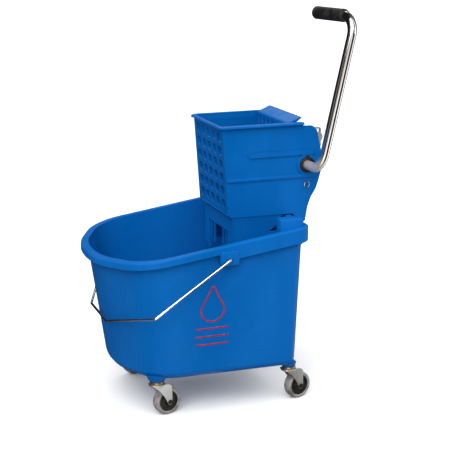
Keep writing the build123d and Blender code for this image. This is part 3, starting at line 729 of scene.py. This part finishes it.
# ------------------------------------------------------------ wringer mouth
# The basket's mouth rolls outward into a stiff lip with generous corners, open at the rear
# where the press plate stands.
bm = bmesh.new()
mouth = [(270, -108, 0), (60, -108, 16), (60, 108, 16), (270, 108, 0)]
line = [bm.verts.new((x, y, 0)) for x, y, r in mouth]
for a, b in zip(line, line[1:]):
    bm.edges.new((a, b))
for v, (x, y, r) in zip(line, mouth):
    if r:
        bmesh.ops.bevel(bm, geom=[v], offset=r, segments=7, profile=0.5, affect="VERTICES", material=-1)
home = bm.verts.layers.float_vector.new("plan")
for v in bm.verts:
    v[home] = v.co
ring = bm.edges[:]
fresh = bm.verts[:]
rolls = [(8, 660.4), (8, 661.5), (7.2, 663.4), (5, 664.4), (2, 664.7), (-0.5, 664), (-2.2, 662)]
rolls += [(-3, 658), (-3, 648)]
for number, (out, z) in enumerate(rolls):
    if number:
        ring, fresh = extrude_ring(bm, ring)
    for v in fresh:
        plan = v[home]
        x = 270 - (270 - plan.x) * (210 - 8 + out) / 210
        v.co = spot(x, plan.y * (100 + out) / 108, z)
lip = new_piece("wringer_lip", bm, wringer_plastic, "wringer")
wall = lip.modifiers.new("wall", "SOLIDIFY")
wall.thickness, wall.offset = 2.6 * MM, 0
edge = lip.modifiers.new("edge", "BEVEL")
edge.width, edge.segments, edge.limit_method, edge.harden_normals = 0.7 * MM, 2, "ANGLE", True

# ------------------------------------------------------------ drain skirt
# An open box below the basket, part of the same moulding, with an outlet in its front that
# drops the pressed water into the tub, and upright stiffening ribs.
skirt_half, skirt_top, top_half, outlet_rim = 94, 455, 98, 20
bm = bmesh.new()
box_size = sized(120, 2 * skirt_half, 106)
bmesh.ops.create_cube(bm, size=1, matrix=Matrix.Translation(spot(157, 0, 405)) @ box_size)
ends = [f for f in bm.faces if abs(f.normal.z) > 0.5]
bmesh.ops.delete(bm, geom=ends, context="FACES_ONLY")
for at_point, facing in (((0, 0, 408), (0, 0, 1)), ((214, 0, 0), (1, 0, 0)), ((187, 0, 408), (-18, 0, 27))):
    sides = [f for f in bm.faces if abs(f.normal.y) > 0.9]
    near = list({g for f in sides for g in (*f.verts, *f.edges)})
    bmesh.ops.bisect_plane(bm, geom=sides + near, plane_co=spot(*at_point), plane_no=facing)
for side in (-1, 1):
    notch_at = spot(206, side * skirt_half, 413)
    notch = min(bm.faces, key=lambda f: (f.calc_center_median() - notch_at).length)
    bmesh.ops.delete(bm, geom=[notch], context="FACES_ONLY")
bmesh.ops.bisect_plane(
    bm, geom=bm.verts[:] + bm.edges[:] + bm.faces[:], plane_co=spot(0, 0, 434), plane_no=(0, 0, 1)
)
for v in bm.verts:
    if v.co.z > skirt_top * MM:
        v.co.y *= top_half / skirt_half
        v.co.z = skirt_top * MM
front = min(bm.faces, key=lambda f: f.calc_center_median().x - f.calc_area())
bmesh.ops.inset_region(bm, faces=[front], thickness=outlet_rim * MM)
middle = front.calc_center_median()
bmesh.ops.translate(bm, verts=front.verts[:], vec=(0, 0, -10 * MM))
bmesh.ops.scale(bm, verts=front.verts[:], vec=(1, 0.88, 1), space=Matrix.Translation(-middle))
bmesh.ops.bevel(
    bm, geom=front.verts[:], offset=6 * MM, segments=4, profile=0.5, affect="VERTICES", material=-1
)
opening = max((f for f in bm.faces if len(f.verts) > 12), key=lambda f: f.calc_area())
bmesh.ops.delete(bm, geom=[opening], context="FACES_ONLY")
for y in (-52, -30, 30, 52):
    rib = bmesh.new()
    bmesh.ops.create_cube(rib, size=1, matrix=sized(3, 7, 88))
    ends = [f for f in rib.faces if abs(f.normal.x) < 0.5]
    bmesh.ops.delete(rib, geom=ends, context="FACES_ONLY")
    bmesh.ops.delete(rib, geom=[max(rib.faces, key=lambda f: f.normal.x)], context="FACES")
    join(bm, rib, Matrix.Translation(spot(99, y, 404)))
skirt = new_piece("wringer_drain_skirt", bm, wringer_plastic, "wringer")
wall = skirt.modifiers.new("wall", "SOLIDIFY")
wall.thickness, wall.offset = WALL * MM, 0
edge = skirt.modifiers.new("edge", "BEVEL")
edge.width, edge.segments, edge.limit_method, edge.harden_normals = 1.2 * MM, 3, "ANGLE", True

# ------------------------------------------------------------ shaft bushes and tie rod
# Black nylon bushes with a locating key are pressed into the cheeks from outside; a steel
# tube with flared ends ties the cheeks together below the shaft.
nylon, shader, at = finish_of("black_nylon", Specular_IOR_Level=0.4)
dust = at.noise(55, 5).ease(0.45, 0.75)
feed(
    shader,
    Base_Color=dust.blend((0.010, 0.010, 0.012, 1), (0.035, 0.035, 0.038, 1)),
    Roughness=0.38 + 0.22 * dust,
    Normal=at.noise(500, 2).grain(0.12, 0.0004),
)
bush = [(11.25, 95), (16.4, 95), (16.4, 103), (19, 103), (19, 104.8), (18.2, 106)]
bush += [(12.2, 106), (11.25, 105)]
for side, hand in ((-1, "left"), (1, "right")):
    bm = bmesh.new()
    lathe(bm, bush, outward_from(SHAFT_X, SHAFT_Z, side))
    rounded_block(bm, (SHAFT_X, side * 104.4, SHAFT_Z + 19.5), (8, 3, 6), 0.8)
    piece = new_piece(f"shaft_bush_{hand}_nylon", bm, nylon, "wringer")
    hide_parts(f"shaft_bush_{hand}")

bm = bmesh.new()
half_rod = [(4.5, 103), (5.4, 103.2), (7, 102.6), (7.5, 101.6), (7.2, 100.6), (6, 100), (6, 96)]
half_rod += [(7.5, 96)]
lathe(bm, half_rod + [(r, -h) for r, h in reversed(half_rod)], outward_from(SHAFT_X, TIE_Z))
piece = new_piece("tie_tube", bm, bail_zinc, "wringer")
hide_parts("tie_rod")

# ------------------------------------------------------------ press plate
# The blue plate that the handle drives forward over the mop: ribbed on its face, with guide
# tongues on its ends and a crown that slopes back over the mechanism.
press_plastic = moulded("press_polypropylene", blue)
bm = bmesh.new()
profile = [(236, 464), (248, 464), (248, 660), (268, 674.6), (268, 677), (264.5, 677)]
profile += [(236, 665.4), (232, 663), (232, 655), (236, 650)]
plate(bm, profile, -95.2, 95.2, whole_wringer, 0.9)
piece = new_piece("press_plate_body", bm, press_plastic, "press", smooth=30, bevel=0.6)
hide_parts("press_plate")
bm = bmesh.new()
rib_pitch, rib_count, outermost = 26, 8, 88.5
for rib in range(rib_count):
    y = (rib - (rib_count - 1) / 2) * rib_pitch
    y = max(-outermost, min(outermost, y))
    rounded_block(bm, (236, y, 563), (8, 13, 190), 2)
for side in (-1, 1):
    rounded_block(bm, (240, side * 96.4, 594), (16, 5, 11.2), 1)
new_piece("press_plate_ribs", bm, press_plastic, "press")

# ------------------------------------------------------------ press drive
# Zinc-plated steel: slotted yokes screwed to the plate, cranks welded to the shaft and the
# rollers on their pins. These keep their machined shapes.
drive_zinc = bright_metal("drive_zinc_plate", rgb(232, 230, 226), 0.42, (1, 1, 1), 0.15)
kept_shapes = ["press_yoke_left", "press_yoke_right", "yoke_screws"]
kept_shapes += ["crank_left", "crank_right", "crank_rollers"]
for name in kept_shapes:
    for part_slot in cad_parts[name].material_slots:
        part_slot.material = drive_zinc

# ------------------------------------------------------------ handle
# Chromed steel tube bent in one piece: the shaft across the wringer, the long arm and the
# short top bar that carries a black rubber grip. Along the shaft and the lower bend a warm
# beige is painted into the chrome's colour as a painted reflection; there the chrome is also
# less metallic and rougher.
lean_over, arm_y, grip_z, tube_r = radians(12.7), -180, 912, 10.85
top = (SHAFT_X + (grip_z - SHAFT_Z) * tan(lean_over), arm_y, grip_z)
grip_turn, reach = radians(12), 144
tip = (top[0] - reach * sin(grip_turn), top[1] + reach * cos(grip_turn), grip_z)
bm = bmesh.new()
route = [(SHAFT_X, 113.5, SHAFT_Z), (SHAFT_X, arm_y, SHAFT_Z), top, tip]
bent_bar(bm, [spot(*p) for p in route], tube_r, 42, 40, 14)
chrome_with_painted_reflection, shader, at = finish_of("polished_chrome")
lines = at.noise(260, 3, (0.6, 0.6, 0.05))
stain = at.noise(24, 5).ease(0.45, 0.8)
# Below about 565 to 600 mm high the colour fades to warm beige, a painted reflection, with less metal and
# more roughness.
reflection_painted_below, bright_above = 0.565, 0.60
elbow_painted_reflection = 1 - at.node("SeparateXYZ", None, {0: at}, "Z").ease(reflection_painted_below, bright_above)
bright = (0.4 * stain).blend(rgb(240, 236, 232), rgb(196, 192, 186))
feed(
    shader,
    Base_Color=(elbow_painted_reflection * 0.8).blend(bright, rgb(222, 204, 184)),
    Metallic=1 - 0.45 * elbow_painted_reflection,
    Roughness=0.04 + 0.08 * stain + 0.05 * lines + 0.3 * elbow_painted_reflection,
    Normal=lines.grain(0.05, 0.0003),
)
piece = new_piece("handle_bent_tube", bm, chrome_with_painted_reflection, "handle", smooth=60)
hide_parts("handle_tube")

rubber, shader, at = finish_of("grip_rubber", Specular_IOR_Level=0.35)
worn = at.noise(60, 5).ease(0.42, 0.75)
feed(
    shader,
    Base_Color=worn.blend((0.009, 0.009, 0.009, 1), (0.032, 0.031, 0.030, 1)),
    Roughness=0.46 + 0.22 * worn,
    Normal=(at.noise(700, 3) + at.noise(120, 2) * 0.7).grain(0.25, 0.0006),
)
bm = bmesh.new()
toward_tip = spot(*tip) - spot(*top)
along = Matrix.Translation(spot(*tip)) @ toward_tip.to_track_quat("Z", "Y").to_matrix().to_4x4()
snug = 0.992
sleeve = [(11.2, -103), (13.5, -103), (15, -102.2), (15.5, -100.5), (15.5, -96), (14.9, -94.5)]
for ridge in range(16):
    z = -92 + ridge * 5.4
    sleeve += [(14.9, z), (15.3, z + 1.0), (15.3, z + 2.6), (14.9, z + 3.6)]
sleeve += [(15.2, -3), (15.5, -1), (15.3, 1.6), (14.2, 3.8), (12, 4.8), (0, 5), (0, 0.5), (11.2, 0.5)]
lathe(bm, [(r * snug, h) for r, h in sleeve], along)
piece = new_piece("handle_rubber_grip", bm, rubber, "handle", smooth=50)
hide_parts("handle_grip")

bm = bmesh.new()
cap = [(11.2, 108), (13.4, 108), (14.1, 109), (14.1, 116), (13.2, 117.4), (11, 118), (0, 118)]
cap += [(0, 114), (11.2, 114)]
lathe(bm, cap, outward_from(SHAFT_X, SHAFT_Z))
piece = new_piece("shaft_end_cap", bm, nylon, "handle")
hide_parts("shaft_cap")
